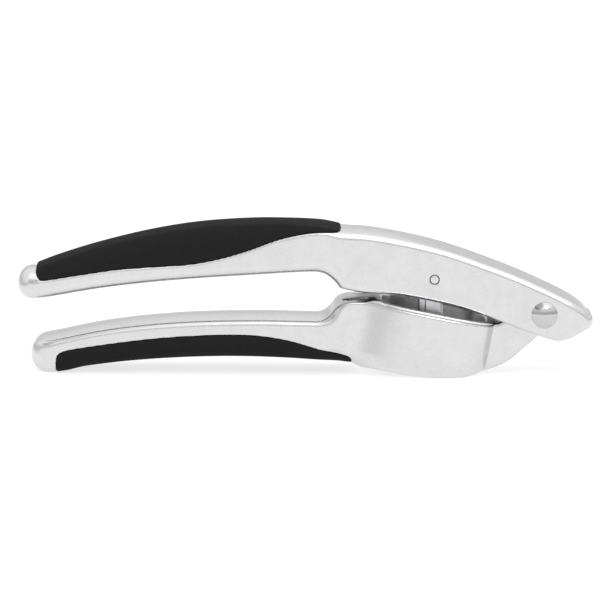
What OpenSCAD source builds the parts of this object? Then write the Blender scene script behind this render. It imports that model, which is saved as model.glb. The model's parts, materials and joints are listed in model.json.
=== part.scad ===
// Two-lever garlic press, closed, standing on its chamber and on the tail of its lower handle.
// X runs from the handle ends (-X) to the pivot (+X), Y across the width, Z up.
// The origin is on the table, midway along the press and on its middle plane.

/* [Handles] */
// Half the width of both handles and of the lever arm
half_w = 12; // [11.5:0.1:12.5]
// Radius of the handle corners seen from above
plan_r = 8; // [6:0.5:10]
// Thickness of the soft grip skin over its hard core
grip_skin = 2.2; // [1.6:0.1:2.6]
// Radius of the locating pegs under the grip cores
peg_r = 1.8; // [1.4:0.1:2.2]

/* [Lever] */
// Half the width of the channel under the lever arm
channel_w = 8.8; // [8.7:0.1:9.2]
// Thickness of the lever's top web
web_t = 2.4; // [2.2:0.1:2.5]

/* [Pivot and pin] */
// Radius of the pivot pin's shank
pivot_r = 2.5; // [2.2:0.1:2.8]
// Radius of the domed pivot heads
head_r = 4.1; // [3.8:0.1:4.4]
// Height of the domed pivot heads
head_h = 1.9; // [1.5:0.1:2.2]
// Radius of the knuckle around the pivot
knuckle_r = 4.2; // [4:0.1:4.2]
// Radius of the plunger's pin
pin_r = 1.6; // [1.4:0.1:1.8]
// Running clearance of the turning bores, on the radius
run_gap = 0.06; // [0.03:0.01:0.09]
// Clearance of the fixed pins in their bores, on the radius
fix_gap = 0.02; // [0.01:0.01:0.03]

/* [Chamber] */
// Tilt of the chamber's rim, down towards the pivot
tilt = 11; // [10:0.5:12]
// Half length of the chamber outside, along the press
ring_a = 19.7; // [19.4:0.1:20]
// Half width of the chamber outside, across the press
ring_b = 17.2; // [16.8:0.1:17.6]
// Wall thickness of the cast chamber
ring_t = 2.3; // [2:0.1:2.6]
// Sheet thickness of the strainer basket
sheet_t = 0.8; // [0.6:0.1:1]
// Depth of the strainer's floor below the rim
floor_d = 13.6; // [13:0.1:14]
// Diameter of the strainer's holes
hole_d = 1.9; // [1.6:0.1:2.1]
// Spacing of the strainer's holes
hole_pitch = 2.9; // [2.8:0.1:3.4]
// Half width of the basket's lifting tab
tab_w = 4.6; // [3:0.2:6]

/* [Plunger] */
// Half length of the plunger's foot
foot_a = 15.1; // [14.8:0.1:15.2]
// Half width of the plunger's foot
foot_b = 13.1; // [12.6:0.1:13.3]
// Thickness of the plunger's foot
foot_t = 4.2; // [3.6:0.2:4.6]
// Gap between the foot and the strainer's floor when closed
foot_gap = 0.4; // [0.3:0.1:0.6]
// Width of the stem along the press
stem_w = 7.8; // [7:0.2:8]
// Width of the stem across the press
stem_b = 15.6; // [12:0.2:16]

/* [Hidden] */
$fn = 48;

far = 120;                  // larger than any cut has to be
seg = 4;                    // curve points between two stations of an outline
side_gap = 0.2;             // tongue and plunger boss to the lever's cheeks
pivot = [74.3, 19.3];       // pivot axis, [x, z]
pin = [40, 30.3];           // plunger pin axis, [x, z]
rim = [40.2, 20];           // middle of the chamber's rim, [x, z]
tongue_w = channel_w - side_gap;
tip_c = [-85.7, 27.7];      // upper handle's rounded end
tip_r = 4.5;
tail_c = [-80.6, 5.3];      // lower handle's rounded end
tail_r = 5.3;
nose_c = [87.2, 17];        // lever's rounded nose
nose_r = 2.6;
cup_in = ring_t + 0.1;      // outside of the basket's wall, just clear of the chamber
ledge_in = ring_t + 2.2;    // ledge under the basket's floor
oval_n = 3.2;               // squareness of the chamber's oval; 2 is an ellipse
foot_u = 0.5;               // foot middle to chamber middle
foot_z = -floor_d + foot_gap;
boss_r = 4.2;               // plunger boss around its pin
panel_w = 5;                // raised panels on the stem's two faces
panel_x = 0.6;              // middle of the panels to the middle of the stem
stem_x = pin[0] - 0.9;      // middle of the stem, along the press
stem_low = 9.5;             // lower end of the stem, inside the foot
stem_h = pin[1] - stem_low;
nose_wall = 85.6;           // front end of the lever's channel
channel_end = 16;           // rear end of the lever's channel

// Smooth curve through stations p, with seg points between two of them
function spline_at(a, b, c, d, t) =
    0.5 * (2 * b + (c - a) * t + (2 * a - 5 * b + 4 * c - d) * t * t
           + (3 * b - a - 3 * c + d) * t * t * t);
function spline(p) = let (n = len(p) - 1)
    concat([for (i = [0:n - 1]) for (k = [0:seg - 1])
        spline_at(p[max(i - 1, 0)], p[i], p[i + 1], p[min(i + 2, n)], k / seg)], [p[n]]);
// Arc of radius r about c, from angle a0 to angle a1
function arc(c, r, a0, a1, n = 8) =
    [for (i = [0:n]) c + r * [cos(a0 + (a1 - a0) * i / n), sin(a0 + (a1 - a0) * i / n)]];
// Curve p moved by d to its right-hand side
function unit(v) = v / norm(v);
function shifted(p, d) = let (n = len(p) - 1)
    [for (i = [0:n]) let (t = unit(p[min(i + 1, n)] - p[max(i - 1, 0)])) p[i] + d * [t[1], -t[0]]];
// Superellipse of half sizes a and b
function oval(a, b, n = 56) =
    [for (i = [0:n - 1]) let (c = cos(360 * i / n), s = sin(360 * i / n))
        [a * sign(c) * pow(abs(c), 2 / oval_n), b * sign(s) * pow(abs(s), 2 / oval_n)]];

// Upper handle and lever arm, stations [x, z] from the handle end to the pivot end
upper_under = [[-84.6, 23.3], [-80, 23.8], [-64, 26.6], [-48, 28.6], [-32, 30], [-16, 31.1],
               [-2, 32], [4.2, 32], [7.6, 30.4], [10.6, 27.2]];
cheek_edge = [[10.6, 27.2], [18.3, 25.9], [26.4, 25.5], [32.7, 24.6], [45.3, 22], [57.8, 18.2],
              [66, 15.1], [72.4, 12.8], [76, 11.6], [78.5, 11.1], [82, 11.8], [87.4, 14.3]];
lever_top = [[10.9, 45.1], [19.8, 44.7], [30, 42.9], [42, 39.8], [54.4, 35.6], [67, 30.8],
             [79.5, 25.1], [85.6, 21.6], [88.6, 18.9]];
crest = [[-84.3, 33], [-77.3, 35.7], [-65, 39.6], [-49, 43.6], [-33.5, 46.2], [-18, 47.4],
         [-7, 47.5], [4, 46.9], [10.9, 45.7]];
upper_seam = [[-83.9, 31.2], [-83, 29.7], [-81, 29.3], [-71, 30.9], [-58.5, 32.8], [-46, 33.8],
              [-36.5, 34.5], [-27, 36.3], [-18, 39], [-8.4, 42.5], [1, 44.5], [9.6, 44.9],
              [10.9, 45.7]];

// Lower handle, stations [x, z] from the tail to the knuckle
lower_top = [[-81.7, 10.5], [-77, 11.5], [-64.6, 14.1], [-52, 15.9], [-39.5, 17], [-27, 17.6],
             [-12, 17.8], [0, 17.6], [4.6, 17.7], [7.3, 19], [9.4, 21.4], [11.4, 22.2],
             [17, 22.4], [21, 22.7]];
lower_under = [[-80.6, 0], [-77.6, 0.2], [-70.7, 1.2], [-58.2, 2.9], [-46, 4], [-33, 4.7],
               [-20.6, 4.9], [-8, 4.6], [4.5, 3.9], [14.5, 3.3], [19, 3], [24, 2.2],
               [30, 1.1], [36, 0.3], [40.5, 0]];
ring_under = [[49.5, 0], [54.7, 1.1], [58, 1.8], [61, 3], [64.2, 4.9], [67.6, 7.9]];
lower_seam = [[-77.6, 2.6], [-77.5, 4.8], [-76.7, 6.1], [-75, 6.9], [-70.8, 7.8], [-58.2, 9.7],
              [-45.7, 11.2], [-33.2, 12.1], [-23, 12.4], [-14.4, 12.1], [-5, 10.6], [4.5, 7.9],
              [11.6, 6.3], [13.7, 5.5], [14.5, 4.2]];

// A side outline made solid, half width w
module slab(w, outline) {
    rotate([90, 0, 0]) linear_extrude(height = 2 * w, center = true) polygon(outline);
}

// A bar of radius r along Y about the axis [x, z] at, from y0 to y1
module cross_bar(at, r, y0, y1) {
    translate([at[0], y1, at[1]]) rotate([90, 0, 0]) cylinder(r = r, h = y1 - y0);
}

// Everything within the plan of a handle from x0 to x1, with rounded corners
module plan(x0, x1, w = half_w, r = plan_r) {
    linear_extrude(height = far, center = true) polygon(concat(
        arc([x0 + r, r - w], r, 180, 270), arc([x1 - r, r - w], r, 270, 360),
        arc([x1 - r, w - r], r, 0, 90), arc([x0 + r, w - r], r, 90, 180)));
}

// Chamber frame: origin in the rim, +X along it, +Z out of the chamber
module on_rim() {
    translate([rim[0], 0, rim[1]]) rotate([0, tilt, 0]) children();
}

// Back from the chamber frame to the press's own frame
module off_rim() {
    rotate([0, -tilt, 0]) translate([-rim[0], 0, -rim[1]]) children();
}

// An oval prism in the chamber frame, inset from the outside, from z0 to z1
module oval_prism(inset, z0, z1) {
    translate([0, 0, z0]) linear_extrude(height = z1 - z0)
        polygon(oval(ring_a - inset, ring_b - inset));
}

// Outlines put together from the stations
function reverse(p) = [for (i = [len(p) - 1:-1:0]) p[i]];
function between(p, x0, x1) = [for (q = p) if (q[0] > x0 && q[0] < x1) q];
upper_metal = concat(arc(tip_c, tip_r, 75, 284), spline(upper_under), spline(cheek_edge),
    arc(nose_c, nose_r, -68, 46), reverse(spline(lever_top)), reverse(spline(upper_seam)));
upper_skin = concat(spline(upper_seam), reverse(spline(crest)));
lower_bar = concat(arc(tail_c, tail_r, 100, 262), [[-77.6, 0.2]], spline(lower_seam),
    spline([[14.5, 3.3], [19, 3], [24, 2.2], [30, 1.1]]), [[30, 20]], reverse(spline(lower_top)));
lower_skin = concat(spline(lower_seam), reverse(between(spline(lower_under), -77.7, 14.4)));
above_ground = concat(spline([[12, 3.4], [19, 3], [24, 2.2], [30, 1.1], [36, 0.3], [40.5, 0]]),
    spline(ring_under), [[far, 8], [far, far], [12, far]]);
tongue_side = concat(spline(ring_under), arc(pivot, knuckle_r, -51, 120, 16),
    [[60, 16.1], [50, 16.1]]);
channel_side = concat([[channel_end, 0]],
    between(shifted(spline(lever_top), web_t), channel_end, nose_wall - 1),
    [[nose_wall, 18], [nose_wall, 0]]);
upper_pocket = concat(between(shifted(spline(crest), grip_skin), -79, 7),
    reverse(between(shifted(spline(upper_seam), 1), -80, 6)));
lower_pocket = concat(between(shifted(spline(lower_under), -grip_skin), -73, 10),
    reverse(between(shifted(spline(lower_seam), -1), -74, 10)));

tab_side = [[11, 22.5], [11, 23.3], [22, 23.8], [22, 23]];

// Locating pegs of the grip cores, [x, lower end, upper end]
upper_pegs = [[-62, 28.5, 35], [-36, 31, 38], [-10, 37.5, 43.5]];
lower_pegs = [[-58, 6.5, 13], [-32, 8, 15.6], [-10, 8, 15.2]];

module pegs(places, r, more = 0) {
    for (p = places)
        translate([p[0], 0, p[1] - more]) cylinder(r = r, h = p[2] - p[1] + 2 * more);
}

// A domed head on the axis, its flat side at y = 0 and its crown towards -Y
module dome(r, h) {
    ball_r = (r * r + h * h) / (2 * h);
    edge = asin(r / ball_r);
    rotate([90, 0, 0]) rotate_extrude() polygon(concat([[0, 0], [r, 0]],
        [for (i = [1:6]) let (a = edge * (1 - i / 6)) [ball_r * sin(a), ball_r * cos(a) - ball_r + h]]));
}

// Lower casting: handle bar, chamber ring, tongue and knuckle
module lower_handle() {
    color("silver") difference() {
        union() {
            intersection() {
                slab(half_w, lower_bar);
                plan(tail_c[0] - tail_r, 60);
            }
            intersection() {
                on_rim() oval_prism(0, -30, -sheet_t);
                slab(far / 2, above_ground);
            }
            slab(tongue_w, tongue_side);
        }
        on_rim() oval_prism(ring_t, -floor_d - sheet_t - 0.05, 9);
        on_rim() oval_prism(ledge_in, -30, 0);
        on_rim() oval_prism(0.1, -sheet_t, 9);
        cross_bar(pivot, pivot_r + run_gap, -20, 20);
        pegs(lower_pegs, peg_r + 0.1, 0.1);
    }
}

// Soft skin under the lower handle
module lower_grip() {
    color("#2a2a2c") difference() {
        intersection() {
            slab(half_w, lower_skin);
            plan(-far, 60);
        }
        slab(half_w - grip_skin, lower_pocket);
    }
}

// Hard core that carries the lower skin and plugs into the casting
module lower_grip_core() {
    color("#4a4a4e") {
        intersection() {
            slab(half_w - grip_skin - 0.1, lower_pocket);
            slab(half_w, lower_skin);
        }
        pegs(lower_pegs, peg_r);
    }
}

// Stainless strainer that drops into the chamber
module sieve_basket() {
    rows = floor(ring_b / hole_pitch);
    inside_a = ring_a - cup_in - sheet_t - hole_d;
    inside_b = ring_b - cup_in - sheet_t - hole_d;
    color("lightgray") on_rim() {
        difference() {
            union() {
                oval_prism(0.2, -sheet_t, 0);
                oval_prism(cup_in, -floor_d - sheet_t, -sheet_t / 2);
                off_rim() slab(tab_w, tab_side);
            }
            oval_prism(cup_in + sheet_t, -floor_d, 1);
            for (j = [-rows:rows])
                for (i = [-8:8]) {
                    u = (i + (j % 2 == 0 ? 0 : 0.5)) * hole_pitch;
                    v = j * hole_pitch * 0.866;
                    if (pow(abs(u) / inside_a, oval_n) + pow(abs(v) / inside_b, oval_n) < 1)
                        translate([u, v, -floor_d - 2]) cylinder(d = hole_d, h = 4, $fn = 24);
                }
        }
    }
}

// Upper casting: handle bar and channelled lever arm
module upper_handle() {
    color("silver") difference() {
        intersection() {
            slab(half_w, upper_metal);
            plan(tip_c[0] - tip_r, nose_c[0] + nose_r);
        }
        slab(channel_w, channel_side);
        cross_bar(pivot, pivot_r + fix_gap, -20, 20);
        cross_bar(pin, pin_r + fix_gap, -20, 20);
        pegs(upper_pegs, peg_r + 0.1, 0.1);
    }
}

// Soft skin over the upper handle
module upper_grip() {
    color("#2a2a2c") difference() {
        intersection() {
            slab(half_w, upper_skin);
            plan(tip_c[0] - tip_r, 60);
        }
        slab(half_w - grip_skin, upper_pocket);
    }
}

// Hard core that carries the upper skin and plugs into the casting
module upper_grip_core() {
    color("#4a4a4e") {
        intersection() {
            slab(half_w - grip_skin - 0.1, upper_pocket);
            slab(half_w, upper_skin);
        }
        pegs(upper_pegs, peg_r);
    }
}

// Pivot pin with its own domed head
module pivot_pin() {
    color("gainsboro") {
        cross_bar(pivot, pivot_r, -half_w - 0.3, half_w + 0.8);
        translate([pivot[0], -half_w, pivot[1]]) dome(head_r, head_h);
    }
}

// Second domed head, pressed on the pivot pin's end
module pivot_cap() {
    color("gainsboro") difference() {
        translate([pivot[0], half_w, pivot[1]]) rotate([0, 0, 180]) dome(head_r, head_h);
        cross_bar(pivot, pivot_r + fix_gap, half_w - 1, half_w + 0.85);
    }
}

// Pin that the plunger hangs on
module plunger_pin() {
    color("gainsboro") cross_bar(pin, pin_r, -half_w, half_w);
}

// Plunger: pressing foot, stem with its raised panels, and boss
module plunger() {
    color("darkgray") difference() {
        union() {
            on_rim() translate([foot_u, 0, foot_z]) {
                linear_extrude(height = foot_t * 0.6) polygon(oval(foot_a, foot_b));
                linear_extrude(height = foot_t) polygon(oval(foot_a - 1, foot_b - 1));
            }
            translate([stem_x, 0, stem_low + stem_h / 2]) {
                cube([stem_w, stem_b, stem_h], center = true);
                translate([panel_x, 0, 0]) cube([panel_w, 2 * tongue_w, stem_h], center = true);
            }
            cross_bar(pin, boss_r, -tongue_w, tongue_w);
        }
        cross_bar(pin, pin_r + run_gap, -20, 20);
    }
}

lower_handle();
lower_grip();
lower_grip_core();
sieve_basket();
upper_handle();
upper_grip();
upper_grip_core();
pivot_pin();
pivot_cap();
plunger_pin();
plunger();
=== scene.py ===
"""Looks of the garlic press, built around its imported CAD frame.

The castings, the soft grips and the plunger are smooth solids, each described by a signed
distance (negative inside) and meshed so that its sharp edges stay sharp. The strainer basket,
the pins and the pivot heads are lofted and turned meshes. Lengths are in millimetres until a
mesh is made.
"""

import json
import math

import bmesh
import bpy
import numpy as np
import openvdb
from mathutils import Matrix, Vector
from mathutils.geometry import delaunay_2d_cdt


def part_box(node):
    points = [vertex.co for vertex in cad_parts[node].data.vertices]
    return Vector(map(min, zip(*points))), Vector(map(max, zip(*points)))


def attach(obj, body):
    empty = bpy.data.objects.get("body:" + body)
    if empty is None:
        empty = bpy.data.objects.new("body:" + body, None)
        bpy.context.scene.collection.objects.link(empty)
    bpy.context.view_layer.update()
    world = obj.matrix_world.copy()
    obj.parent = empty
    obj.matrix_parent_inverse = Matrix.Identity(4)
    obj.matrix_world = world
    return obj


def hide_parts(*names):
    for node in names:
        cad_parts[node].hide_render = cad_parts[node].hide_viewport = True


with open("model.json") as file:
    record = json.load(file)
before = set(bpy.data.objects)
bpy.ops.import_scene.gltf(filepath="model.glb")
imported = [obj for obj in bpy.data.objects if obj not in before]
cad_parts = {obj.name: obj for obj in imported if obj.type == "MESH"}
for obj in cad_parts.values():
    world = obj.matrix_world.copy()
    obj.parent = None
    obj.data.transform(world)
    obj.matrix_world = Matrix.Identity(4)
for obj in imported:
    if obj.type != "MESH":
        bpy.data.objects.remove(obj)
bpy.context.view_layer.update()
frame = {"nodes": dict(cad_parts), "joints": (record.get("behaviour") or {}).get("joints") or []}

# ---------------------------------------------------------------- sizes, from the frame

MM = 0.001
JOINT_AT = {j["name"]: np.array(j["pos_m"]) / MM for j in frame["joints"]}
PIVOT = JOINT_AT["lever_hinge"]
PIN = JOINT_AT["plunger_swing"]


def box_mm(node):
    """Lowest and highest corner of a CAD node, in millimetres."""
    low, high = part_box(node)
    return np.array(low) / MM, np.array(high) / MM


UPPER_LOW, UPPER_HIGH = box_mm("upper_handle")
LOWER_LOW, LOWER_HIGH = box_mm("lower_handle")
HEAD_LOW, HEAD_HIGH = box_mm("pivot_pin")
HALF_W = UPPER_HIGH[1]          # handles and lever arm
RING_B = LOWER_HIGH[1]          # chamber, across the press
RING_A = 19.7                   # chamber, along the press
TILT = math.radians(11)         # chamber's rim, down towards the pivot
RIM = np.array([40.2, 0, 20])   # middle of the rim
OVAL_N = 3.2                    # squareness of the chamber's oval
CHANNEL_W = 8.8                 # half width of the lever's channel
TONGUE_W = 8.6                  # half width of the tongue and of the plunger's boss
WEB_T = 2.4                     # lever's top web
KNUCKLE_R = 4.2
LEVER_BORE_R = 2.7              # pivot hole in the lever
KNUCKLE_BORE_R = 2.6            # pivot hole in the knuckle
RING_T = 2.3                    # cast chamber wall
LEDGE = 2.2                     # how far the cast ledge under the basket reaches in from the wall
SHEET_T = 0.8                   # basket sheet
FLOOR_D = 13.6                  # strainer floor below the rim
GRIP_SKIN = 2.2
PIN_R = 1.5
PIN_PLAY = 0.08                 # between the small pin and the lever
SEAM = 0.06                     # half of the joint line between grip and metal
SEAM_SOFT = 0.5                 # rounding of both edges at that line
PEG_R = 1.9
PEG_PLAY = 0.2                  # past the end of each peg
BAR_END = 60                    # the lower bar runs this far, inside the chamber

# Side outlines, [x, z] stations from the handle ends to the pivot
UPPER_UNDER = [[-84.6, 23.3], [-80, 23.8], [-64, 26.6], [-48, 28.6], [-32, 30], [-16, 31.1],
               [-2, 32], [4.2, 32], [7.6, 30.4], [10.6, 27.2]]
CHEEK_EDGE = [[10.6, 27.2], [18.3, 25.9], [26.4, 25.5], [32.7, 24.6], [45.3, 22], [57.8, 18.2],
              [66, 15.1], [72.4, 12.8], [76, 11.6], [78.5, 11.1], [82, 11.8], [87.4, 14.3]]
LEVER_TOP = [[10.9, 45.1], [19.8, 44.7], [30, 42.9], [42, 39.8], [54.4, 35.6], [67, 30.8],
             [79.5, 25.1], [85.6, 21.6], [88.6, 18.9]]
CREST = [[-84.3, 33], [-77.3, 35.7], [-65, 39.6], [-49, 43.6], [-33.5, 46.2], [-18, 47.4],
         [-7, 47.5], [4, 46.9], [10.9, 45.7]]
UPPER_SEAM = [[-83.9, 31.2], [-83, 29.7], [-81, 29.3], [-71, 30.9], [-58.5, 32.8], [-46, 33.8],
              [-36.5, 34.5], [-27, 36.3], [-18, 39], [-8.4, 42.5], [1, 44.5], [9.6, 44.9],
              [10.9, 45.7]]
LOWER_TOP = [[-81.7, 10.5], [-77, 11.5], [-64.6, 14.1], [-52, 15.9], [-39.5, 17], [-27, 17.6],
             [-12, 17.8], [0, 17.6], [4.6, 17.7], [7.3, 19], [9.4, 21.4], [11.4, 22.6],
             [15, 22.95], [19, 22.95], [21, 22.9]]
LOWER_UNDER = [[-80.6, 0], [-77.6, 0.2], [-70.7, 1.2], [-58.2, 2.9], [-46, 4], [-33, 4.7],
               [-20.6, 4.9], [-8, 4.6], [4.5, 3.9], [14.5, 3.3], [19, 3], [24, 2.2],
               [30, 1.1], [36, 0.3], [40.5, 0]]
RING_UNDER = [[49.5, 0], [54.7, 1.1], [58, 1.8], [61, 3], [64.2, 4.9], [67.6, 7.9]]
LOWER_SEAM = [[-77.6, 2.6], [-77.5, 4.8], [-76.7, 6.1], [-75, 6.9], [-70.8, 7.8], [-58.2, 9.7],
              [-45.7, 11.2], [-33.2, 12.1], [-23, 12.4], [-14.4, 12.1], [-5, 10.6], [4.5, 7.9],
              [11.6, 6.3], [13.7, 5.5], [14.5, 4.2]]

# Centre and radius of the round ends: upper handle, lower handle, lever
TIP = ([-85.7, 27.7], 4.5)
TAIL = ([-80.6, 5.3], 5.3)
NOSE = ([87.2, 17], 2.6)

# The grip cores' pegs, each as x, lowest z and highest z
UPPER_PEGS = [[-62, 28.5, 35], [-36, 31, 38], [-10, 37.5, 43.5]]
LOWER_PEGS = [[-58, 6.5, 13], [-32, 8, 15.6], [-10, 8, 15.2]]
FAR = 90                        # above every part of the closed press

# Stretches over which the castings change shape, as start and end
TO_ARM = (-12, 8)               # x, upper handle into lever arm
TO_NOSE = (20, 50)              # x, arm into its flat front half
TO_CHEEK = (9, 13)              # x, bar's underside into the arm's cheeks
TO_UPPER_TOP = (-3, 3)          # height over the line MIDDLE
TO_LOWER_TOP = (7, 11)          # z, cheek into the lower bar's top
FROM_TAIL = (-75, -68)          # x, lower handle's end into its grip
TO_RAMP = (4, 9)                # x, lower bar into the rise to the chamber
TO_SHOULDER = (9.5, 14)         # x, rise into the shoulder

# How much the castings' tops and undersides fall from the middle to their edges
BAR_CROWN = 1.3
ARM_CROWN = 0.8
NOSE_CROWN = 0.12
LOWER_CROWN = 0.9
LOWER_UNDER_CROWN = 0.8

# Rounding of the castings' long edges
BAR_TOP_R = 4.7
ARM_TOP_R = 1.8
BAR_UNDER_R = 2.9
CHEEK_R = 1.3                   # lower edges of the arm's cheeks
LOWER_R = 3.0
ROUNDER_UNDER = 1.2             # added under the lower handle's grip
SHARPER_TOP = 1.6               # taken off along the lower bar's top
SHARPER_SHOULDER = 2.4          # taken off at the shoulder
CHANNEL_R = 1.2                 # inside corners of the lever's channel
CHANNEL_SOFT = 0.7              # its lower edges
RING_FOOT_R = 1.0               # chamber's lower edge
RING_LIP_R = 0.5                # chamber's rim, under the basket's flange
TONGUE_R = 0.9

# Fillets and clearances of the lower casting
BAR_FILLET = 5.0                # bar into chamber
TONGUE_FILLET = 1.0             # chamber into tongue
LEDGE_PLAY = 0.05               # between the basket's floor and the ledge
BRIM = 0.1                      # rim left outside the flat seat of the flange


# ---------------------------------------------------------------- outlines

def smooth(stations, parts=6):
    """Catmull-Rom curve through the stations."""
    p = np.array(stations, float)
    p = np.vstack([p[:1], p, p[-1:]])
    t = np.linspace(0, 1, parts, endpoint=False)[:, None]
    pieces = []
    for a, b, c, d in zip(p, p[1:], p[2:], p[3:]):
        cubic = (3 * b - a - 3 * c + d) * t ** 3
        pieces.append(0.5 * (2 * b + (c - a) * t + (2 * a - 5 * b + 4 * c - d) * t ** 2 + cubic))
    return np.vstack(pieces + [p[-2:-1]])


def arc(centre, radius, start, end, parts=14):
    """Points on a circle from one angle to another, in degrees."""
    a = np.radians(np.linspace(start, end, parts + 1))
    return np.array(centre) + radius * np.stack([np.cos(a), np.sin(a)], 1)


def shifted(p, d):
    """Curve p moved by d to its right-hand side."""
    t = np.gradient(p, axis=0)
    t /= np.linalg.norm(t, axis=1)[:, None]
    return p + d * np.stack([t[:, 1], -t[:, 0]], 1)


def between(p, x0, x1):
    """The points of a curve whose x lies between x0 and x1."""
    return p[(p[:, 0] > x0) & (p[:, 0] < x1)]


def oval(a, b, exponent=OVAL_N, count=160):
    """Superellipse with evenly spaced points."""
    t = np.linspace(0, 2 * np.pi, 4001)
    c, s = np.cos(t), np.sin(t)
    x = a * np.sign(c) * np.abs(c) ** (2 / exponent)
    y = b * np.sign(s) * np.abs(s) ** (2 / exponent)
    run = np.concatenate([[0], np.cumsum(np.hypot(np.diff(x), np.diff(y)))])
    at = np.linspace(0, run[-1], count, endpoint=False)
    return np.stack([np.interp(at, run, x), np.interp(at, run, y)], 1)


class Outline:
    """Signed distance to a closed outline, worked out on a grid and read between its points."""

    def __init__(self, points, step=0.25, margin=5.0):
        p = np.vstack(points).astype(np.float32)
        q = np.roll(p, -1, 0)
        low = p.min(0) - margin
        count = np.ceil((p.max(0) + margin - low) / step).astype(int) + 1
        rows = low[1] + step * np.arange(count[1], dtype=np.float32)
        edge = q - p
        length2 = np.maximum((edge ** 2).sum(1), 1e-9)
        with np.errstate(divide="ignore", invalid="ignore"):
            slope = np.where(edge[:, 1] != 0, edge[:, 0] / edge[:, 1], 0)
        crosses = (p[:, 1] > rows[:, None]) != (q[:, 1] > rows[:, None])
        cross_at = p[:, 0] + (rows[:, None] - p[:, 1]) * slope
        grid = np.empty(count, np.float32)
        for i in range(count[0]):
            a = low[0] + step * i
            da = a - p[:, 0]
            db = rows[:, None] - p[:, 1]
            t = np.clip((da * edge[:, 0] + db * edge[:, 1]) / length2, 0, 1)
            away = np.hypot(da - t * edge[:, 0], db - t * edge[:, 1]).min(1)
            inside = (crosses & (a < cross_at)).sum(1) % 2 == 1
            grid[i] = np.where(inside, -away, away)
        self.low, self.step, self.grid = low, step, grid

    def __call__(self, a, b):
        n, m = self.grid.shape
        i = np.clip((a - self.low[0]) / self.step, 0, n - 1.001)
        j = np.clip((b - self.low[1]) / self.step, 0, m - 1.001)
        i0, j0 = i.astype(np.int32), j.astype(np.int32)
        s, t = i - i0, j - j0
        g = self.grid
        near = g[i0, j0] * (1 - t) + g[i0, j0 + 1] * t
        far = g[i0 + 1, j0] * (1 - t) + g[i0 + 1, j0 + 1] * t
        return near * (1 - s) + far * s


# ---------------------------------------------------------------- signed distances

def both(p, q, r):
    """Inside p and q, with the edge between them rounded to radius r."""
    outer = np.hypot(np.maximum(p + r, 0), np.maximum(q + r, 0))
    return outer + np.minimum(np.maximum(p, q) + r, 0) - r


def either(p, q, k):
    """Inside p or q, with a fillet of about k where they meet."""
    h = np.maximum(k - np.abs(p - q), 0) / k
    return np.minimum(p, q) - h * h * k / 4


def without(p, q, k=0.0):
    """Inside p and outside q; k softens the edge."""
    return np.maximum(p, -q) if k == 0 else -either(-p, q, k)


def step_up(v, start, end):
    """0 below start, 1 above end, smooth between."""
    t = np.clip((v - start) / (end - start), 0, 1)
    return t * t * (3 - 2 * t)


def mixed(a, b, t):
    """a where t is 0, b where t is 1."""
    return a + (b - a) * t


def round_bar(x, z, at, radius):
    """A round bar or hole along Y through the point at."""
    return np.hypot(x - at[0], z - at[2]) - radius


def seen_above(x, y, x0, x1):
    """A handle seen from above: its ends run out a little further, and the side outline trims them."""
    past, corner = 2.5, 10.5
    along = np.abs(x - (x0 + x1) / 2) - (x1 - x0) / 2 - past
    return both(along, np.abs(y) - HALF_W, corner)


def to_rim(x, z):
    """Along and out of the chamber, measured from the middle of its rim."""
    dx, dz = x - RIM[0], z - RIM[2]
    return dx * math.cos(TILT) - dz * math.sin(TILT), dx * math.sin(TILT) + dz * math.cos(TILT)


def from_rim(u, w):
    """The reverse of to_rim."""
    return (RIM[0] + u * math.cos(TILT) + w * math.sin(TILT),
            RIM[2] - u * math.sin(TILT) + w * math.cos(TILT))


def without_pegs(body, x, y, z, pegs):
    """Drills the holes that the grip cores' pegs sit in."""
    for at, low, high in pegs:
        past_ends = np.maximum(low - PEG_PLAY - z, z - high - PEG_PLAY)
        body = without(body, np.maximum(np.hypot(x - at, y) - PEG_R, past_ends))
    return body


# ---------------------------------------------------------------- the shapes

TIP_ARC = arc(*TIP, 75, 284)
TAIL_ARC = arc(*TAIL, 100, 262)
UPPER_EDGE = [TIP_ARC, smooth(UPPER_UNDER), smooth(CHEEK_EDGE), arc(*NOSE, -68, 46)]
UPPER_METAL_SIDE = Outline(UPPER_EDGE + [smooth(CREST[:-1] + [[10.9, 45.3]] + LEVER_TOP[1:])[::-1]])
UPPER_SKIN_SIDE = Outline(UPPER_EDGE + [smooth(CREST + LEVER_TOP[1:])[::-1]])
UPPER_GRIP_SIDE = Outline([[[-84.3, FAR], [-84.3, 33]], smooth(UPPER_SEAM), [[10.9, FAR]]])
LOWER_SIDE = Outline([TAIL_ARC, smooth(LOWER_UNDER[:-2]), [[30, 20]], smooth(LOWER_TOP)[::-1]])
LOWER_GRIP_SIDE = Outline([[[-77.6, -20]], smooth(LOWER_SEAM), [[14.5, -20]]])
GROUND_SIDE = Outline([smooth([[12, 3.4]] + LOWER_UNDER[-5:]), smooth(RING_UNDER),
                       [[70, 10], [70, 40], [12, 40]]])
TONGUE_SIDE = Outline([smooth(RING_UNDER), arc(PIVOT[::2], KNUCKLE_R, -51, 120),
                       [[60, 16.1], [50, 16.1]]])
CHANNEL_SIDE = Outline([[[16, 0]], between(shifted(smooth(LEVER_TOP), WEB_T), 16, 84.6),
                        [[85.6, 18], [85.6, 0]]])
UPPER_POCKET = Outline([between(shifted(smooth(CREST), GRIP_SKIN), -79, 7),
                        between(shifted(smooth(UPPER_SEAM), 1), -80, 6)[::-1]])
LOWER_POCKET = Outline([between(shifted(smooth(LOWER_UNDER), -GRIP_SKIN), -73, 10),
                        between(shifted(smooth(LOWER_SEAM), -1), -74, 10)[::-1]])
RING_OVAL = Outline([oval(RING_A, RING_B)])

# Relief in the shoulder that lets a fingernail under the basket's tab
TAB_GAP = Outline([[[12.2, 22.9], [14, 22.45], [21.5, 22.45], [21.5, 26], [12.2, 26]]])
TAB_GAP_HALF = 7.2

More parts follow.
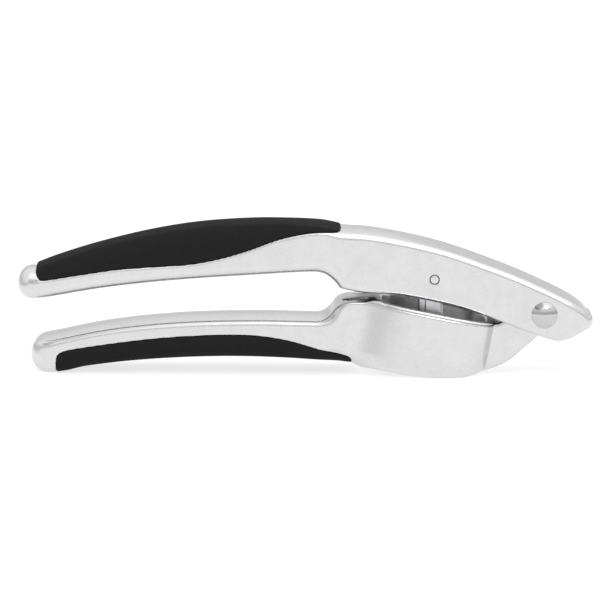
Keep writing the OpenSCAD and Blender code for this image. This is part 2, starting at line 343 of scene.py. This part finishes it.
# The line that parts the upper casting's top from its underside
MIDDLE = np.array([[-90, 27.7], [-60, 33.5], [-20, 39.5], [10, 39], [40, 33], [76, 19.5],
                   [90, 17]])


def upper_whole(outline, x, y, z):
    """Upper handle and lever arm, before the grip is parted from the metal."""
    on_arm = step_up(x, *TO_ARM)
    top = step_up(z - np.interp(x, MIDDLE[:, 0], MIDDLE[:, 1]), *TO_UPPER_TOP)
    crown = mixed(mixed(BAR_CROWN, ARM_CROWN, on_arm), NOSE_CROWN, step_up(x, *TO_NOSE))
    side = outline(x, z) + crown * top * (y / HALF_W) ** 2
    over = mixed(BAR_TOP_R, ARM_TOP_R, on_arm)
    under = mixed(BAR_UNDER_R, CHEEK_R, step_up(x, *TO_CHEEK))
    return both(side, seen_above(x, y, UPPER_LOW[0], UPPER_HIGH[0]), mixed(under, over, top))


def upper_metal(x, y, z):
    """Upper casting: bar, arm, channel, pin holes and peg holes."""
    body = without(upper_whole(UPPER_METAL_SIDE, x, y, z), UPPER_GRIP_SIDE(x, z) - SEAM, SEAM_SOFT)
    channel = both(CHANNEL_SIDE(x, z), np.abs(y) - CHANNEL_W, CHANNEL_R)
    body = without(body, channel, CHANNEL_SOFT)
    body = without(body, round_bar(x, z, PIN, PIN_R + PIN_PLAY))
    body = without(body, round_bar(x, z, PIVOT, LEVER_BORE_R))
    return without_pegs(body, x, y, z, UPPER_PEGS)


def upper_skin(x, y, z):
    """Soft grip over the upper handle, hollow for its core."""
    body = both(upper_whole(UPPER_SKIN_SIDE, x, y, z), UPPER_GRIP_SIDE(x, z) + SEAM, SEAM_SOFT)
    pocket = np.maximum(UPPER_POCKET(x, z), np.abs(y) - HALF_W + GRIP_SKIN)
    return without(body, pocket)


def lower_whole(x, y, z):
    """Lower handle's bar, before the grip is parted from the metal."""
    top = step_up(z, *TO_LOWER_TOP)
    under = step_up(x, *FROM_TAIL) * (1 - top)
    ramp = step_up(x, *TO_RAMP)
    crown = LOWER_UNDER_CROWN * under + LOWER_CROWN * top * (1 - ramp)
    side = LOWER_SIDE(x, z) + crown * (y / HALF_W) ** 2
    radius = LOWER_R + ROUNDER_UNDER * under - SHARPER_TOP * (top - ramp)
    radius = radius - SHARPER_SHOULDER * step_up(x, *TO_SHOULDER)
    return both(side, seen_above(x, y, LOWER_LOW[0], BAR_END), radius)


def lower_metal(x, y, z):
    """Lower casting: bar, chamber wall, tongue and knuckle."""
    bar = without(lower_whole(x, y, z), LOWER_GRIP_SIDE(x, z) - SEAM, SEAM_SOFT)
    u, w = to_rim(x, z)
    wall = RING_OVAL(u, y)
    ring = both(both(wall, GROUND_SIDE(x, z), RING_FOOT_R), w + SHEET_T, RING_LIP_R)
    tongue = both(TONGUE_SIDE(x, z), np.abs(y) - TONGUE_W, TONGUE_R)
    body = either(either(bar, ring, BAR_FILLET), tongue, TONGUE_FILLET)
    bore_end = -FLOOR_D - SHEET_T - LEDGE_PLAY
    body = without(body, np.maximum(wall + RING_T, bore_end - w), 0.3)
    body = without(body, wall + RING_T + LEDGE, 0.5)
    body = without(body, np.maximum(wall + BRIM, -SHEET_T - w))
    body = without(body, np.maximum(TAB_GAP(x, z), np.abs(y) - TAB_GAP_HALF))
    body = without(body, round_bar(x, z, PIVOT, KNUCKLE_BORE_R))
    return without_pegs(body, x, y, z, LOWER_PEGS)


def lower_skin(x, y, z):
    """Soft grip under the lower handle, hollow for its core."""
    body = both(lower_whole(x, y, z), LOWER_GRIP_SIDE(x, z) + SEAM, SEAM_SOFT)
    pocket = np.maximum(LOWER_POCKET(x, z), np.abs(y) - HALF_W + GRIP_SKIN)
    return without(body, pocket)


FOOT_A, FOOT_B, FOOT_T = 15.1, 13.1, 4.2    # half length, half width and thickness
FOOT_U = 0.5                    # foot's place along the chamber, from the middle of the rim
FOOT_LOW = -FLOOR_D + 0.4
BOSS_R = 4.2
FOOT_OVAL = Outline([oval(FOOT_A, FOOT_B)])
STEM_X = PIN[0] - 0.9
STEM_HALF_L, STEM_HALF_W = 3.9, 7.8
PANEL_X = STEM_X + 0.6
PANEL_HALF_L = 2.5
PLUNGER_PLAY = 0.1              # between the plunger and its pin
FOOT_R, STEM_R, PANEL_R, BOSS_EDGE_R = 1.2, 0.5, 0.3, 0.6    # rounded edges
FOOT_FILLET, BOSS_FILLET = 2.5, 1.5


def plunger_shape(x, y, z):
    """Pressing foot, stem with raised panels, and the boss around its pin."""
    u, w = to_rim(x, z)
    foot = both(FOOT_OVAL(u - FOOT_U, y), np.abs(w - FOOT_LOW - FOOT_T / 2) - FOOT_T / 2, FOOT_R)
    tall = np.maximum(FOOT_LOW + 1 - w, w - to_rim(PIN[0], PIN[2])[1])
    stem = both(np.abs(x - STEM_X) - STEM_HALF_L, np.abs(y) - STEM_HALF_W, STEM_R)
    panel = both(np.abs(x - PANEL_X) - PANEL_HALF_L, np.abs(y) - TONGUE_W, PANEL_R)
    stem = np.maximum(either(stem, panel, PANEL_R), tall)
    boss = both(round_bar(x, z, PIN, BOSS_R), np.abs(y) - TONGUE_W, BOSS_EDGE_R)
    body = either(either(foot, stem, FOOT_FILLET), boss, BOSS_FILLET)
    return without(body, round_bar(x, z, PIN, PIN_R + PLUNGER_PLAY))


# ---------------------------------------------------------------- meshing

SETTLE_PASSES = 4
PROBE = 0.15                    # step for measuring a surface's direction
OUTSIDE = 10.0                  # distance that the grid holds where nothing is near
HOLD = 0.06                     # how firmly a point keeps to the middle of its faces
CREASE = math.cos(math.radians(25))


def probe(shape, p):
    """Distance and outward direction of a shape at each point."""
    x, y, z = p.T
    slope = np.stack([shape(x + PROBE, y, z) - shape(x - PROBE, y, z),
                      shape(x, y + PROBE, z) - shape(x, y - PROBE, z),
                      shape(x, y, z + PROBE) - shape(x, y, z - PROBE)], 1)
    slope /= np.maximum(np.linalg.norm(slope, axis=1), 1e-9)[:, None]
    return shape(x, y, z), slope


def voxel_quads(shape, low, high, voxel):
    """Coarse quads of a shape that is alike on both sides of y = 0."""
    half = int(math.ceil(max(-low[1], high[1]) / voxel)) + 2
    xs = np.arange(low[0] - 2 * voxel, high[0] + 3 * voxel, voxel)
    ys = voxel * np.arange(half + 1)
    zs = np.arange(low[2] - 2 * voxel, high[2] + 3 * voxel, voxel)
    x, y, z = np.meshgrid(xs, ys, zs, indexing="ij")
    near = shape(x, y, z)
    values = np.concatenate([near[:, :0:-1], near], 1)
    grid = openvdb.FloatGrid(OUTSIDE)
    grid.copyFromArray(np.ascontiguousarray(values, dtype=np.float32))
    points, quads = grid.convertToQuads(0.0)
    points = np.array(points, float) * voxel + [xs[0], -ys[-1], zs[0]]
    return points, np.array(quads, np.int64)


def settle(points, quads, centre, normal, reach):
    """Moves each point to where the tangent planes of its faces meet, so that edges stay sharp."""
    count = len(points)
    corner = quads.ravel()
    face = np.repeat(np.arange(len(quads)), 4)
    uses = np.maximum(np.bincount(corner, minlength=count), 1)
    middle = np.stack([np.bincount(corner, centre[face, k], count) for k in range(3)], 1)
    middle /= uses[:, None]
    n = normal[face]
    gap = ((centre[face] - middle[corner]) * n).sum(1)
    pull = np.stack([np.bincount(corner, n[:, k] * gap, count) for k in range(3)], 1)
    stiff = np.empty((count, 3, 3))
    for i in range(3):
        for j in range(3):
            stiff[:, i, j] = np.bincount(corner, n[:, i] * n[:, j], count)
    stiff += HOLD * np.eye(3)
    move = np.linalg.solve(stiff, pull[..., None])[..., 0]
    far = np.maximum(np.linalg.norm(move, axis=1) / reach, 1)
    return middle + move / far[:, None]


def solid(name, shape, low, high, voxel):
    """A mesh object of a shape given by its signed distance."""
    points, quads = voxel_quads(shape, low, high, voxel)
    for _ in range(SETTLE_PASSES):
        centre = points[quads].mean(1)
        away, normal = probe(shape, centre)
        centre -= away[:, None] * normal
        away, normal = probe(shape, centre)
        centre -= away[:, None] * normal
        points = settle(points, quads, centre, normal, voxel)
    a, b, c, d = (points[quads[:, k]] for k in range(4))
    facing = (np.cross(c - a, d - b) * normal).sum(1)
    if facing.sum() < 0:
        quads = quads[:, ::-1]
    corner = quads.ravel()
    own = np.repeat(normal, 4, axis=0)
    shared = np.stack([np.bincount(corner, own[:, k], len(points)) for k in range(3)], 1)
    shared /= np.maximum(np.linalg.norm(shared, axis=1), 1e-9)[:, None]
    shared = shared[corner]
    soft = (own * shared).sum(1) > CREASE
    mesh = bpy.data.meshes.new(name)
    mesh.vertices.add(len(points))
    mesh.vertices.foreach_set("co", (points * MM).ravel())
    mesh.loops.add(len(corner))
    mesh.loops.foreach_set("vertex_index", corner)
    mesh.polygons.add(len(quads))
    mesh.polygons.foreach_set("loop_start", np.arange(0, len(corner), 4))
    mesh.update(calc_edges=True)
    mesh.validate()
    mesh.shade_smooth()
    mesh.normals_split_custom_set(np.where(soft[:, None], shared, own))
    return add_object(name, mesh)


def add_object(name, mesh):
    """Puts a mesh in the scene."""
    thing = bpy.data.objects.new(name, mesh)
    bpy.context.scene.collection.objects.link(thing)
    return thing


def from_bmesh(name, bm, crease=35):
    """Finishes a bmesh: outward faces, smooth, with its creases kept sharp."""
    bmesh.ops.remove_doubles(bm, verts=bm.verts, dist=1e-7)
    bmesh.ops.recalc_face_normals(bm, faces=bm.faces)
    for edge in bm.edges:
        if len(edge.link_faces) == 2:
            edge.smooth = edge.calc_face_angle(0) < math.radians(crease)
    mesh = bpy.data.meshes.new(name)
    bm.to_mesh(mesh)
    bm.free()
    mesh.shade_smooth()
    return add_object(name, mesh)


def bridge(bm, near, far):
    """Quads between two rings of points."""
    for i in range(len(near)):
        j = (i + 1) % len(near)
        bm.faces.new((near[i], near[j], far[j], far[i]))


def turned(name, profile, at, count=96):
    """A solid turned about a line along Y through at; profile is [radius, y] from end to end."""
    bm = bmesh.new()
    turn = np.linspace(0, 2 * np.pi, count, endpoint=False)
    rings = [[bm.verts.new(Vector((at[0] + r * math.cos(a), y, at[2] + r * math.sin(a))) * MM)
              for a in turn] for r, y in profile]
    for near, far in zip(rings, rings[1:]):
        bridge(bm, near, far)
    bm.faces.new(rings[0][::-1])
    bm.faces.new(rings[-1])
    return from_bmesh(name, bm, 30)


# ---------------------------------------------------------------- turned pieces

SHANK_R = 2.5
SHANK_END = HALF_W + 0.8        # how far the shank reaches into the far head
NEAR_AXIS = 0.05                # radius of the small flat that closes a turned end


def dome_profile(face, side):
    """A domed head that sits on y = face; side is -1 towards the front, +1 towards the back."""
    radius = (HEAD_HIGH[0] - HEAD_LOW[0]) / 2
    height = -HALF_W - HEAD_LOW[1]
    rim, bevel = 0.35, 0.12
    rise = height - rim
    ball = (radius ** 2 + rise ** 2) / (2 * rise)
    edge = math.asin(radius / ball)
    crown = [[ball * math.sin(a), face + side * (height - ball + ball * math.cos(a))]
             for a in np.linspace(edge, 0.02, 22)]
    return [[radius - bevel, face], [radius, face + side * bevel]] + crown


def make_pivot_pin():
    """Shank and near head of the pivot."""
    bevel = 0.2
    shank = [[SHANK_R, -HALF_W], [SHANK_R, SHANK_END - bevel], [SHANK_R - bevel, SHANK_END]]
    profile = dome_profile(-HALF_W, -1)[::-1] + shank + [[NEAR_AXIS, SHANK_END]]
    return turned("pivot_pin_turned", profile, PIVOT)


def make_pivot_cap():
    """Far head of the pivot, with the hole that takes the shank's end."""
    hole_r, hole_end = SHANK_R + 0.02, SHANK_END + 0.05
    hole = [[NEAR_AXIS, hole_end], [hole_r, hole_end], [hole_r, HALF_W]]
    return turned("pivot_cap_turned", hole + dome_profile(HALF_W, 1), PIVOT)


def make_plunger_pin():
    """Flush pin with bevelled ends."""
    end = [[NEAR_AXIS, 0], [PIN_R - 0.32, 0], [PIN_R - 0.25, 0.03], [PIN_R - 0.02, 0.5],
           [PIN_R, 0.56]]
    profile = [[r, y - HALF_W] for r, y in end] + [[r, HALF_W - y] for r, y in end[::-1]]
    return turned("plunger_pin_turned", profile, PIN)


# ---------------------------------------------------------------- strainer basket

CUP_IN = RING_T + 0.1           # basket wall, inwards from the chamber's outside
HOLE_R, HOLE_PITCH = 0.95, 2.9
ROW_PITCH = 0.866 * HOLE_PITCH  # staggered rows, with each hole between two of the next row
FLOOR_BEND = 1.0                # inside radius where the wall turns into the floor
LIP_BEND = 0.9                  # radius of the lip at the mouth
FLOOR_EDGE = CUP_IN + SHEET_T + FLOOR_BEND


def inset(loop, d):
    """A closed loop moved inwards by d."""
    t = np.roll(loop, -1, 0) - np.roll(loop, 1, 0)
    t /= np.linalg.norm(t, axis=1)[:, None]
    return loop + d * np.stack([-t[:, 1], t[:, 0]], 1)


def at_rim(u, v, w):
    """A point of the chamber's own frame, in the press's frame."""
    x, z = from_rim(u, w)
    return Vector((x, v, z)) * MM


def corner_arc(inset_at, height_at, radius, start, end, parts=5):
    """Stations [inset, height] round a bend of the sheet."""
    return [[inset_at + radius * math.cos(a), height_at + radius * math.sin(a)]
            for a in np.radians(np.linspace(start, end, parts + 1))]


def hole_centres():
    """Staggered rows of strainer holes that fit on the floor."""
    a, b = RING_A - CUP_IN - SHEET_T - 2 * HOLE_R, RING_B - CUP_IN - SHEET_T - 2 * HOLE_R
    rows, columns = int(RING_B / HOLE_PITCH), int(RING_A / HOLE_PITCH)
    places = [((i + (0.5 if j % 2 else 0)) * HOLE_PITCH, j * ROW_PITCH)
              for j in range(-rows, rows + 1) for i in range(-columns, columns + 1)]
    return [p for p in places if abs(p[0] / a) ** OVAL_N + abs(p[1] / b) ** OVAL_N < 1]


def pierced_plate(bm, edge, centres, w, facing):
    """Flat floor with round holes at height w; returns the rings of the holes' edges."""
    count = 20
    turn = np.linspace(0, 2 * np.pi, count, endpoint=False)
    rings = [[(c[0] + HOLE_R * math.cos(a), c[1] + HOLE_R * math.sin(a)) for a in turn]
             for c in centres]
    flat = [Vector(p) for ring in [list(map(tuple, edge))] + rings for p in ring]
    links, start = [], 0
    for ring in [edge] + rings:
        size = len(ring)
        links += [(start + i, start + (i + 1) % size) for i in range(size)]
        start += size
    points, _, faces, *_ = delaunay_2d_cdt(flat, links, [], 1, 1e-5)
    verts = [bm.verts.new(at_rim(p.x, p.y, w)) for p in points]
    centres = np.array(centres)
    for f in faces:
        middle = np.mean([points[i] for i in f], axis=0)
        if np.hypot(*(centres - middle).T).min() > HOLE_R * 0.97:
            bm.faces.new([verts[i] for i in (f if facing > 0 else reversed(f))])
    return rings


TAB_TIP = box_mm("sieve_basket")[0][0]
TAB_HALF = 4.6
TAB_CORNER = 1.6                # radius of the tab's two corners
TAB_ROOT = 8.5                  # half width where the tab grows out of the flange
TAB_T = 0.45                    # the tab is coined thinner than the flange
TAB_Z = 23.3                    # top of the tab at its tip
TAB_RISE = 0.045                # how much it rises for each millimetre towards the flange


def tab_path():
    """The flange's outline along one side of the tab, from its middle tip to the oval, in x and y."""
    corner = arc((TAB_TIP + TAB_CORNER, TAB_HALF - TAB_CORNER), TAB_CORNER, 180, 90, 6)
    flare = smooth([[17, TAB_HALF], [18.7, 4.9], [20, 5.8], [20.9, 7.1], [21.3, TAB_ROOT]], 4)
    return np.vstack([[[TAB_TIP, 0]], corner, flare])


def with_tab(loop):
    """Draws out the end of an oval loop that is away from the pivot into the lifting tab."""
    end = np.where((loop[:, 0] < 0) & (np.abs(loop[:, 1]) < TAB_ROOT))[0]
    path = tab_path()
    path = np.vstack([path[::-1], path[1:] * [1, -1]])
    run = np.concatenate([[0], np.cumsum(np.hypot(*np.diff(path, axis=0).T))])
    at = np.linspace(0, run[-1], len(end) + 2)[1:-1]
    x = np.interp(at, run, path[:, 0])
    out = loop.copy()
    out[end, 0] = (x - RIM[0]) / math.cos(TILT)
    out[end, 1] = np.interp(at, run, path[:, 1])
    return out


def on_sheet(u, v, w):
    """A point of the flange or the tab, which bends level where it leaves the flange."""
    x, z = from_rim(u, w)
    if u < 0:
        z = min(z, TAB_Z + TAB_RISE * (x - TAB_TIP) + w * TAB_T / SHEET_T)
    return Vector((x, v, z)) * MM


def make_basket():
    """Pressed strainer: flange with its lifting tab, wall and pierced floor."""
    outer = oval(RING_A, RING_B, count=240)
    wall_in = CUP_IN + SHEET_T
    outer_bend = 1.4
    below = corner_arc(CUP_IN + outer_bend, -FLOOR_D - SHEET_T + outer_bend, outer_bend, 270, 180)
    below += [[CUP_IN, -SHEET_T - 0.5], [CUP_IN - 0.2, -SHEET_T], [0.9, -SHEET_T]]
    edge = [[0.75, -SHEET_T]] + corner_arc(0.5, -SHEET_T / 2, SHEET_T / 2, 270, 90) + [[0.75, 0]]
    above = [[0.9, 0]] + corner_arc(wall_in - LIP_BEND, -LIP_BEND, LIP_BEND, 90, 0)
    above += corner_arc(FLOOR_EDGE, -FLOOR_D + FLOOR_BEND, FLOOR_BEND, 180, 270)
    bm = bmesh.new()
    rows = [[bm.verts.new(at_rim(*p, w)) for p in inset(outer, d)] for d, w in below]
    rows += [[bm.verts.new(on_sheet(*p, w)) for p in inset(with_tab(outer), d)] for d, w in edge]
    rows += [[bm.verts.new(at_rim(*p, w)) for p in inset(outer, d)] for d, w in above]
    for near, far in zip(rows, rows[1:]):
        bridge(bm, near, far)
    centres = hole_centres()
    rings = pierced_plate(bm, inset(outer, FLOOR_EDGE), centres, -FLOOR_D, 1)
    pierced_plate(bm, inset(outer, below[0][0]), centres, -FLOOR_D - SHEET_T, -1)
    for ring in rings:
        top = [bm.verts.new(at_rim(*p, -FLOOR_D)) for p in ring]
        low = [bm.verts.new(at_rim(*p, -FLOOR_D - SHEET_T)) for p in ring]
        bridge(bm, top, low)
    return from_bmesh("strainer_basket", bm)


# ---------------------------------------------------------------- materials

def new_material(name, metallic, roughness):
    """A Principled material; returns it with its node tree, its shader and object coordinates."""
    mat = bpy.data.materials.new(name)
    mat.use_nodes = True
    tree = mat.node_tree
    shader = tree.nodes["Principled BSDF"]
    shader.inputs["Metallic"].default_value = metallic
    shader.inputs["Roughness"].default_value = roughness
    where = tree.nodes.new("ShaderNodeTexCoord").outputs["Object"]
    return mat, tree, shader, where


def noise(tree, where, size_mm, detail=2.0, stretch=(1, 1, 1)):
    """Noise whose grains are about size_mm across."""
    place = tree.nodes.new("ShaderNodeMapping")
    place.inputs["Scale"].default_value = stretch
    tree.links.new(where, place.inputs["Vector"])
    node = tree.nodes.new("ShaderNodeTexNoise")
    node.inputs["Scale"].default_value = 1 / (size_mm * MM)
    node.inputs["Detail"].default_value = detail
    tree.links.new(place.outputs["Vector"], node.inputs["Vector"])
    return node.outputs["Fac"]


def spread(tree, value, low, high, start=0.35, end=0.65):
    """Maps a noise to the range from low to high."""
    node = tree.nodes.new("ShaderNodeMapRange")
    node.inputs["From Min"].default_value = start
    node.inputs["From Max"].default_value = end
    node.inputs["To Min"].default_value = low
    node.inputs["To Max"].default_value = high
    tree.links.new(value, node.inputs["Value"])
    return node.outputs["Result"]


def tint(tree, value, dark, light):
    """Colour between two shades, by a noise."""
    node = tree.nodes.new("ShaderNodeValToRGB")
    node.color_ramp.elements[0].position = 0.3
    node.color_ramp.elements[1].position = 0.7
    node.color_ramp.elements[0].color = (*dark, 1)
    node.color_ramp.elements[1].color = (*light, 1)
    tree.links.new(value, node.inputs["Fac"])
    return node.outputs["Color"]


def bump(tree, shader, layers):
    """Stacks noises as fine relief; each layer is (noise, strength, height in mm)."""
    last = None
    for value, strength, height in layers:
        node = tree.nodes.new("ShaderNodeBump")
        node.inputs["Strength"].default_value = strength
        node.inputs["Distance"].default_value = height * MM
        tree.links.new(value, node.inputs["Height"])
        if last:
            tree.links.new(last, node.inputs["Normal"])
        last = node.outputs["Normal"]
    tree.links.new(last, shader.inputs["Normal"])


def satin_casting(name, dark, light, rough):
    """Satin-plated casting: fine peened grain over faint broad unevenness."""
    mat, tree, shader, where = new_material(name, 1.0, rough)
    broad = noise(tree, where, 9)
    grain = noise(tree, where, 0.22, 3)
    tree.links.new(tint(tree, broad, dark, light), shader.inputs["Base Color"])
    tree.links.new(spread(tree, noise(tree, where, 2.5), rough - 0.03, rough + 0.03),
                   shader.inputs["Roughness"])
    bump(tree, shader, [(grain, 0.10, 0.03), (noise(tree, where, 4), 0.04, 0.1)])
    return mat


def polished_steel(name, dark, light, rough, stretch):
    """Polished steel with faint drawn lines."""
    mat, tree, shader, where = new_material(name, 1.0, rough)
    lines = noise(tree, where, 0.5, 3, stretch)
    tree.links.new(tint(tree, lines, dark, light), shader.inputs["Base Color"])
    tree.links.new(spread(tree, lines, rough * 0.9, rough * 1.1), shader.inputs["Roughness"])
    bump(tree, shader, [(lines, 0.03, 0.01)])
    return mat


def soft_grip():
    """Matte soft-touch moulding with a very fine speckle."""
    mat, tree, shader, where = new_material("soft_grip", 0.0, 0.8)
    shader.inputs["Specular IOR Level"].default_value = 0.06
    speckle = noise(tree, where, 0.28, 2)
    tree.links.new(tint(tree, speckle, (0.012, 0.012, 0.0125), (0.018, 0.018, 0.019)),
                   shader.inputs["Base Color"])
    tree.links.new(spread(tree, noise(tree, where, 3), 0.74, 0.84), shader.inputs["Roughness"])
    bump(tree, shader, [(speckle, 0.22, 0.05), (noise(tree, where, 1.1, 2), 0.08, 0.08)])
    return mat


def hard_core():
    """Moulded plastic carrier, hidden inside the grips."""
    mat, tree, shader, where = new_material("hard_core", 0.0, 0.5)
    grain = noise(tree, where, 0.4)
    tree.links.new(tint(tree, grain, (0.03, 0.03, 0.033), (0.045, 0.045, 0.05)),
                   shader.inputs["Base Color"])
    bump(tree, shader, [(grain, 0.1, 0.05)])
    return mat


# ---------------------------------------------------------------- studio

SEEN_W = 191.2                  # width that the picture shows at the press, in mm
CAMERA_AWAY = 1400
ELEVATION = math.radians(8.5)
ROLL = math.radians(0.35)
AIM = Vector((-0.2, 0, 20.3))
ROOM_LOW, ROOM_HIGH, ROOM_DIM = 0.62, 1.05, 0.3     # grey tones
DIM_SIDE = (-0.5, -0.45, 0.74)
SKY_FADE = (0.1, 0.42)          # cosines from straight up: all grey at the first, bright at the second
DIM_FADE = (0.86, 0.97)         # cosines from the middle of the dim patch: its edge and its full tone
FLOOR_GLOW = 0.75


def make_camera():
    """Long lens from the front, a little above the press."""
    data = bpy.data.cameras.new("camera")
    data.sensor_width = 36
    data.lens = data.sensor_width * CAMERA_AWAY / SEEN_W
    data.clip_end = 20
    cam = bpy.data.objects.new("camera", data)
    bpy.context.scene.collection.objects.link(cam)
    away = Vector((0, -math.cos(ELEVATION), math.sin(ELEVATION))) * CAMERA_AWAY
    turn = Matrix.Rotation(math.radians(90) - ELEVATION, 4, "X") @ Matrix.Rotation(ROLL, 4, "Z")
    cam.matrix_world = Matrix.Translation((AIM + away) * MM) @ turn
    bpy.context.scene.camera = cam


def make_floor():
    """Plain pale floor that reaches past every view, lit a little from inside like a light table."""
    bm = bmesh.new()
    bmesh.ops.create_grid(bm, x_segments=8, y_segments=8, size=6)
    mesh = bpy.data.meshes.new("floor")
    bm.to_mesh(mesh)
    bm.free()
    floor = add_object("floor", mesh)
    mat, tree, shader, where = new_material("floor", 0.0, 0.9)
    shade = tint(tree, noise(tree, where, 400), (0.30, 0.30, 0.30), (0.32, 0.32, 0.32))
    tree.links.new(shade, shader.inputs["Base Color"])
    shader.inputs["Specular IOR Level"].default_value = 0.1
    shader.inputs["Emission Color"].default_value = (1, 1, 1, 1)
    shader.inputs["Emission Strength"].default_value = FLOOR_GLOW
    mesh.materials.append(mat)


def patch(tree, direction, centre, start, end):
    """1 towards one direction of the room, fading to 0; start and end are cosines."""
    dot = tree.nodes.new("ShaderNodeVectorMath")
    dot.operation = "DOT_PRODUCT"
    dot.inputs[1].default_value = Vector(centre).normalized()
    tree.links.new(direction, dot.inputs[0])
    fade = tree.nodes.new("ShaderNodeMapRange")
    fade.interpolation_type = "SMOOTHSTEP"
    fade.inputs["From Min"].default_value = start
    fade.inputs["From Max"].default_value = end
    tree.links.new(dot.outputs["Value"], fade.inputs["Value"])
    return fade.outputs["Result"]


def toned(tree, colour, factor, tone):
    """Mixes a grey tone into a colour."""
    mix = tree.nodes.new("ShaderNodeMixRGB")
    mix.inputs["Color2"].default_value = (tone, tone, tone, 1)
    tree.links.new(factor, mix.inputs["Fac"])
    if isinstance(colour, float):
        mix.inputs["Color1"].default_value = (colour, colour, colour, 1)
    else:
        tree.links.new(colour, mix.inputs["Color1"])
    return mix.outputs["Color"]


def make_room():
    """A pale room: grey up to the horizon, bright above, with a dim patch high in front, to the left."""
    world = bpy.data.worlds.new("studio")
    bpy.context.scene.world = world
    world.use_nodes = True
    tree = world.node_tree
    ground = tree.nodes["Background"]
    look = tree.nodes.new("ShaderNodeTexCoord").outputs["Generated"]
    colour = toned(tree, ROOM_LOW, patch(tree, look, (0, 0, 1), *SKY_FADE), ROOM_HIGH)
    colour = toned(tree, colour, patch(tree, look, DIM_SIDE, *DIM_FADE), ROOM_DIM)
    tree.links.new(colour, ground.inputs["Color"])


def make_lamps():
    """A broad soft sun, and a small lamp that puts the bright spot on the pivot's head."""
    sun = bpy.data.lights.new("soft_sun", "SUN")
    sun.energy = 0.6
    sun.angle = math.radians(90)
    lamp = bpy.data.objects.new("soft_sun", sun)
    lamp.rotation_euler = (math.radians(14), 0, 0)
    bpy.context.scene.collection.objects.link(lamp)
    spot = bpy.data.lights.new("round_lamp", "AREA")
    spot.shape = "DISK"
    spot.size = 0.35
    spot.energy = 3
    lamp = bpy.data.objects.new("round_lamp", spot)
    lamp.location = (0.35, -0.9, 0.95)
    lamp.rotation_euler = (-lamp.location).to_track_quat("-Z", "Y").to_euler()
    bpy.context.scene.collection.objects.link(lamp)


# ---------------------------------------------------------------- assembly

def place(piece, body, slot, mat, *nodes):
    """Rides and finishes a piece, which stands for the CAD nodes named; slot is not used."""
    piece.data.materials.clear()
    piece.data.materials.append(mat)
    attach(piece, body)
    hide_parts(*nodes)


make_camera()
make_floor()
make_room()
make_lamps()

casting = satin_casting("satin_casting", (0.67, 0.67, 0.675), (0.70, 0.70, 0.705), 0.26)
foot_metal = satin_casting("plunger_casting", (0.60, 0.60, 0.61), (0.66, 0.66, 0.67), 0.32)
sheet_steel = polished_steel("sheet_steel", (0.76, 0.76, 0.765), (0.80, 0.80, 0.805), 0.32,
                             (1, 1, 0.08))
bright_steel = polished_steel("bright_steel", (0.53, 0.53, 0.53), (0.57, 0.57, 0.57), 0.12,
                              (1, 0.1, 1))
satin_steel = satin_casting("satin_steel", (0.70, 0.70, 0.70), (0.74, 0.74, 0.74), 0.34)
grip = soft_grip()
core = hard_core()

VOXEL = 0.5
FINE_VOXEL = 0.45
place(solid("upper_casting", upper_metal, UPPER_LOW, UPPER_HIGH, VOXEL),
      "lever", "cast_metal", casting, "upper_handle")
place(solid("upper_soft_grip", upper_skin, *box_mm("upper_grip"), VOXEL),
      "lever", "grip_soft", grip, "upper_grip")
place(solid("lower_casting", lower_metal, LOWER_LOW, LOWER_HIGH, VOXEL),
      "base", "cast_metal", casting, "lower_handle")
place(solid("lower_soft_grip", lower_skin, *box_mm("lower_grip"), VOXEL),
      "base", "grip_soft", grip, "lower_grip")
place(solid("plunger_casting", plunger_shape, *box_mm("plunger"), FINE_VOXEL),
      "plunger_body", "plunger_metal", foot_metal, "plunger")
place(make_basket(), "base", "stainless", sheet_steel, "sieve_basket")
place(make_pivot_pin(), "lever", "pin_steel", bright_steel, "pivot_pin")
place(make_pivot_cap(), "lever", "pin_steel", bright_steel, "pivot_cap")
place(make_plunger_pin(), "lever", "pin_steel", satin_steel, "plunger_pin")
for name in ("upper_grip_core", "lower_grip_core"):
    frame["nodes"][name].data.materials.clear()
    frame["nodes"][name].data.materials.append(core)

bpy.context.scene.view_settings.view_transform = "Standard"
